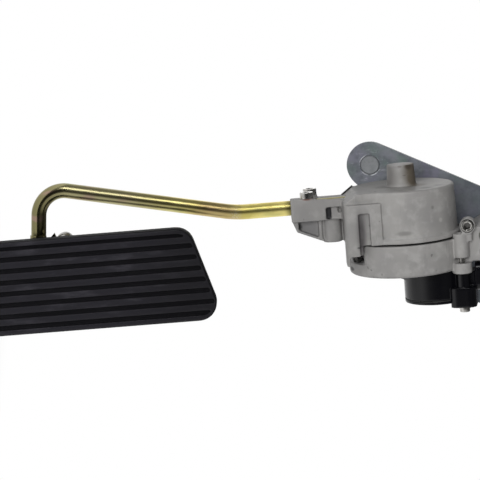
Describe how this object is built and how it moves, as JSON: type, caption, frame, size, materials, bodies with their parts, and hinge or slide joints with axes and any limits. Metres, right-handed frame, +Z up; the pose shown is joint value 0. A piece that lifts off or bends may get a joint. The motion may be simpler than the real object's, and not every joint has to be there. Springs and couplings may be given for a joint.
{
  "type": "accelerator pedal",
  "caption": "Hanging accelerator pedal with electronic position sensor: grooved rubber pad, bent rod, cast lever and housing on a studded steel plate.",
  "frame": {"origin": "axis of the lower stud, in the plane of the mounting plate's back face", "axes": "+Y forwards through the bulkhead, along the studs; +Z up; +X to the driver's right"},
  "size_m": [0.1165, 0.1402, 0.3879],
  "materials": {
    "zinc_plate": "clear zinc plating, faintly mottled",
    "stud_steel": "zinc-plated",
    "cast_alloy": "as cast, fine grain",
    "screw_steel": "bright",
    "spring_steel": "drawn wire",
    "bronze": "sintered",
    "black_plastic": "moulded, slight sheen",
    "gasket_rubber": "soft",
    "circuit_board": "lacquered",
    "pad_rubber": "moulded, slight sheen",
    "yellow_zinc": "yellow chromate over zinc",
    "white_nylon": "natural"
  },
  "bodies": {
    "base": {"mounting_plate": "zinc_plate", "mounting_studs": "stud_steel", "housing": "cast_alloy", "housing_screws": "screw_steel", "hub_bush_inner": "bronze", "hub_bush_outer": "bronze", "thrust_washer": "screw_steel", "return_spring_outer": "spring_steel", "return_spring_inner": "spring_steel", "sensor_case": "black_plastic", "sensor_gasket": "gasket_rubber", "sensor_cover": "black_plastic", "sensor_circuit_board": "circuit_board", "sensor_terminals": "bronze", "sensor_sleeves": "bronze", "sensor_screws": "screw_steel"},
    "lever": {"lever_casting": "cast_alloy", "bumper_strip": "gasket_rubber", "pivot_shaft": "screw_steel", "shaft_clip": "spring_steel", "sensor_rotor": "white_nylon", "pedal_rod": "yellow_zinc", "clamp_screws": "screw_steel", "pad_bracket": "yellow_zinc", "hinge_pin": "screw_steel", "hinge_clip": "spring_steel"},
    "pad": {"pad_plate": "zinc_plate", "pad_rubber": "pad_rubber", "pad_bushes": "white_nylon", "pad_spacer": "white_nylon", "pad_spring": "spring_steel"}
  },
  "joints": [
    {"name": "pedal_swing", "type": "hinge", "parent": "base", "child": "lever", "pos_m": [0.043, -0.046, 0.0255], "axis": [1, 0, 0], "range_deg": [0, 17], "stiffness_Nm_per_rad": 8, "springref_deg": -28.65, "deforming": ["return_spring_outer", "return_spring_inner"]},
    {"name": "pad_swivel", "type": "hinge", "parent": "lever", "child": "pad", "pos_m": [0.043, -0.08901, -0.19539], "axis": [1, 0, 0], "range_deg": [-8, 8], "stiffness_Nm_per_rad": 1.5, "springref_deg": -1.15, "deforming": ["pad_spring"]}
  ]
}
